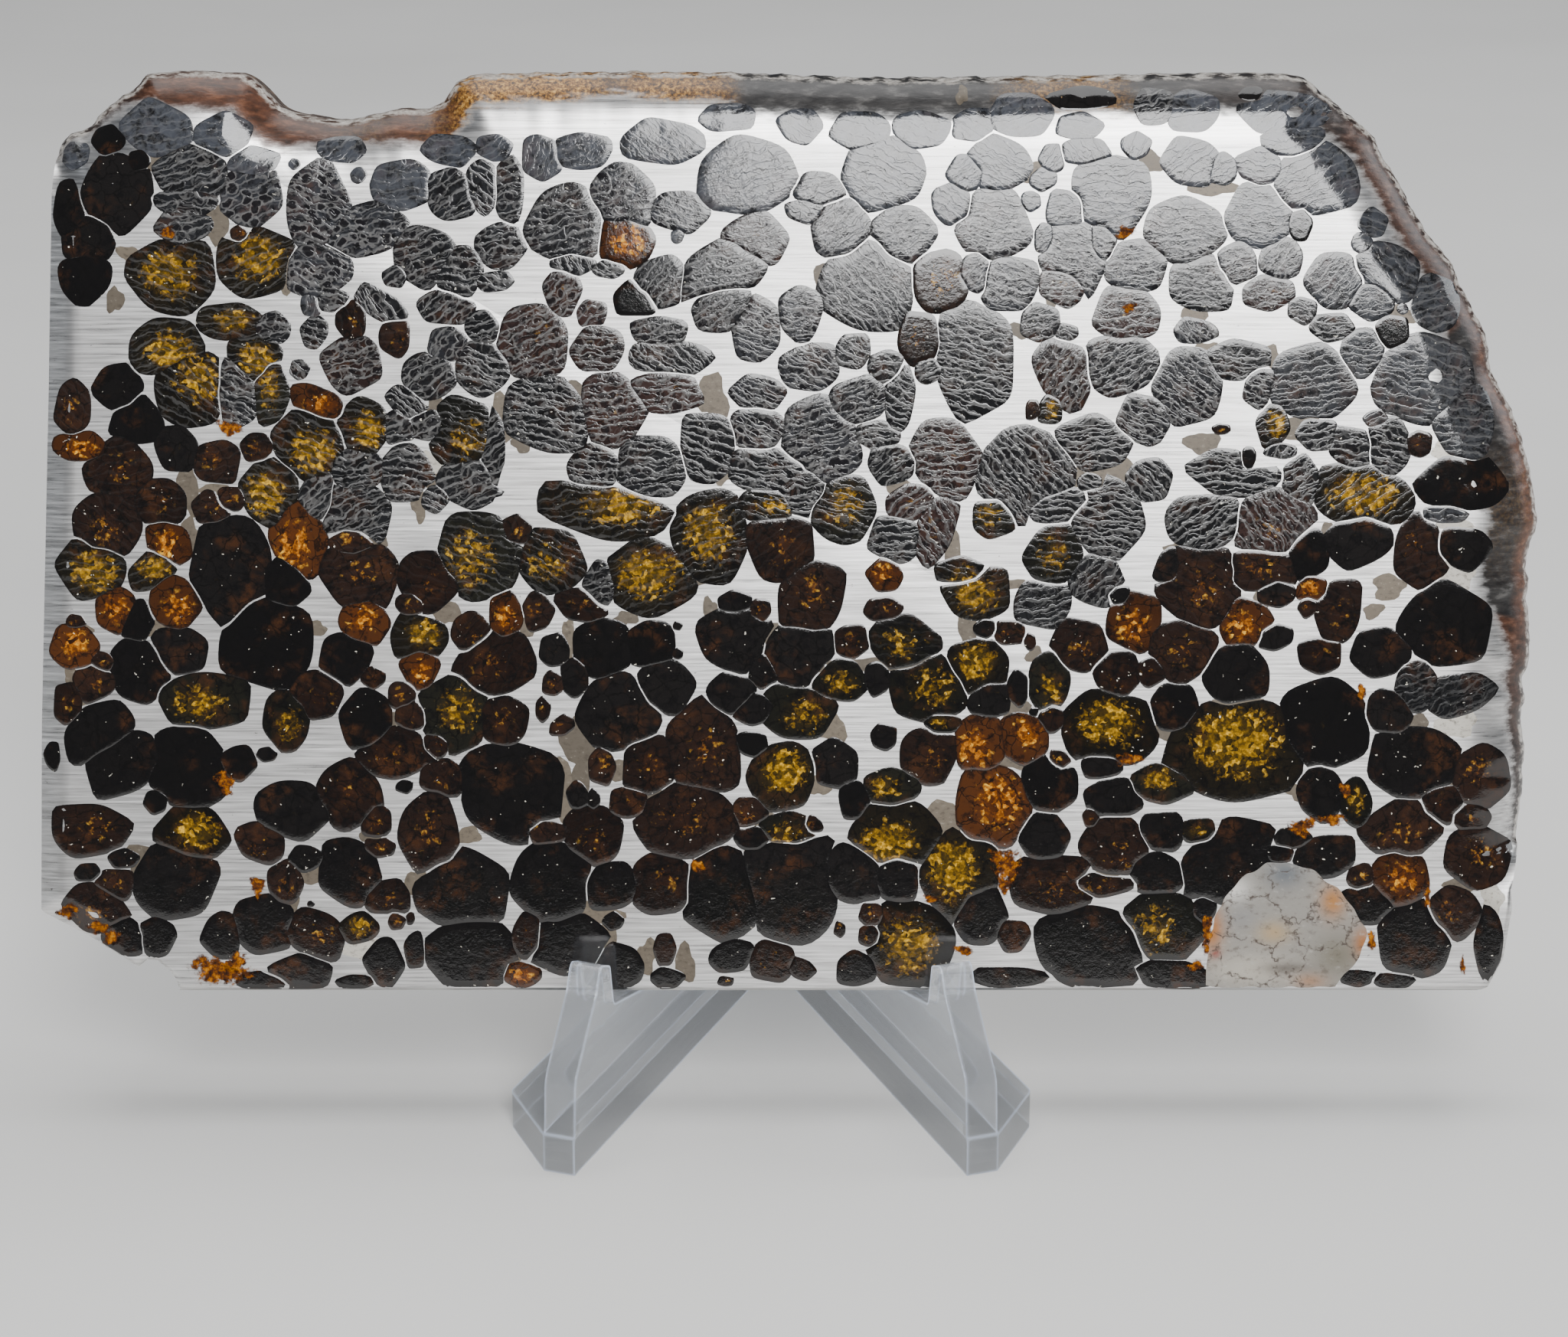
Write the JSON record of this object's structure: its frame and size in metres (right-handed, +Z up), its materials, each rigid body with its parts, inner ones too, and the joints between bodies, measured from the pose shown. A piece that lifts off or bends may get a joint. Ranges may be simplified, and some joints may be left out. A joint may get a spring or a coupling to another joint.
{
  "type": "pallasite meteorite slice on a display stand",
  "caption": "Polished pallasite slice, nickel-iron metal full of olivine crystals, leaning upright in a clear moulded two-armed stand.",
  "frame": {"origin": "middle of the footprint of the whole object's box, on the surface that the stand rests on", "axes": "+Z up, the polished front faces -Y and leans back towards +Y, +X to the right seen from the front"},
  "size_m": [0.1502, 0.0556, 0.1028],
  "materials": {
    "nickel_iron": "polished metal with a fine straight brush, pitted in places",
    "olivine": "dark brown to golden crystals, polished flush with the metal",
    "pale_inclusion": "pale grey granular inclusion with rusty cracks",
    "clear_acrylic": "clear and glossy, moulded"
  },
  "bodies": {
    "root": {"slice": "nickel_iron", "display_stand": "clear_acrylic"}
  },
  "joints": []
}
